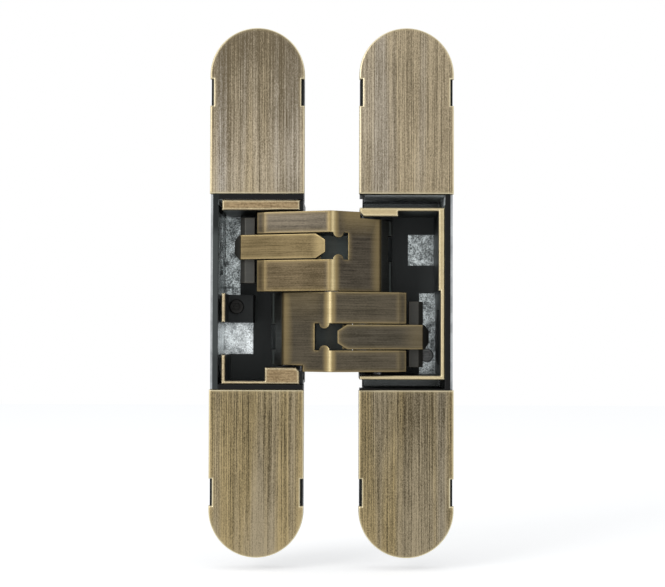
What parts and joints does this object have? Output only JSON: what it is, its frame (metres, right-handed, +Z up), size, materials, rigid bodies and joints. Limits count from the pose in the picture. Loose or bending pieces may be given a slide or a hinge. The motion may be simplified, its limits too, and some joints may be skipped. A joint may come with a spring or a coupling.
{
  "type": "concealed hinge",
  "caption": "Adjustable concealed door hinge with rounded recessed leaves, brushed cover plates, and forked arms with links that fold it from flat open to closed.",
  "frame": {"origin": "centre of the bounding box with the hinge open flat", "axes": "+X across the leaves to the right leaf, +Y into the door edge behind the leaf faces, +Z up along the pins and the leaves"},
  "size_m": [0.0618, 0.0309, 0.134],
  "materials": {
    "cover_brass": "brushed antique",
    "arm_brass": "brushed antique",
    "link_brass": "brushed antique",
    "body_zinc": "black lacquer",
    "cassette_zinc": "black lacquer with a bare brass rim",
    "pin_steel": "ground",
    "screw_steel": "black oxide"
  },
  "bodies": {
    "left_leaf": {"left_body": "body_zinc", "upper_left_cover": "cover_brass", "lower_left_cover": "cover_brass"},
    "left_carrier": {"left_cassette": "cassette_zinc", "left_arm_pin": "pin_steel", "left_link_pin": "pin_steel", "left_clamp_screw": "screw_steel"},
    "lower_lever": {"lower_arm": "arm_brass", "centre_pin": "pin_steel", "lower_fork_pin": "pin_steel"},
    "upper_lever": {"upper_arm": "arm_brass", "upper_fork_pin": "pin_steel"},
    "right_carrier": {"right_cassette": "cassette_zinc", "right_arm_pin": "pin_steel", "right_link_pin": "pin_steel"},
    "right_leaf": {"right_body": "body_zinc", "right_adjust_screw": "screw_steel", "upper_right_cover": "cover_brass", "lower_right_cover": "cover_brass"},
    "left_guide": {"left_link": "link_brass"},
    "right_guide": {"right_link": "link_brass"}
  },
  "joints": [
    {"name": "side_adjust", "type": "slide", "parent": "left_leaf", "child": "left_carrier", "axis": [1, 0, 0], "range_m": [-0.0008, 0.0008]},
    {"name": "fold", "type": "hinge", "parent": "left_carrier", "child": "lower_lever", "pos_m": [-0.0118, 0.00205, 0], "axis": [0, 0, -1], "range_deg": [0, 77.31]},
    {"name": "arms_turn", "type": "hinge", "parent": "lower_lever", "child": "upper_lever", "pos_m": [0, -0.01155, 0], "axis": [0, 0, -1], "range_deg": [0, 25.39]},
    {"name": "right_turn", "type": "hinge", "parent": "upper_lever", "child": "right_carrier", "pos_m": [0.0118, 0.00205, 0], "axis": [0, 0, -1], "range_deg": [0, 77.31]},
    {"name": "height_adjust", "type": "slide", "parent": "right_carrier", "child": "right_leaf", "axis": [0, 0, 1], "range_m": [-0.003, 0.0022]},
    {"name": "left_link_turn", "type": "hinge", "parent": "left_carrier", "child": "left_guide", "pos_m": [-0.012, 0.00655, 0], "axis": [0, 0, -1], "range_deg": [0, 33.98]},
    {"name": "right_link_turn", "type": "hinge", "parent": "right_carrier", "child": "right_guide", "pos_m": [0.012, 0.00655, 0], "axis": [0, 0, -1], "range_deg": [-33.98, 0]}
  ],
  "couplings": [
    {"joint": "arms_turn", "follows": "fold", "ratio": 0.32839},
    {"joint": "right_turn", "follows": "fold", "ratio": 1},
    {"joint": "left_link_turn", "follows": "fold", "ratio": 0.43955},
    {"joint": "right_link_turn", "follows": "fold", "ratio": -0.43955}
  ]
}
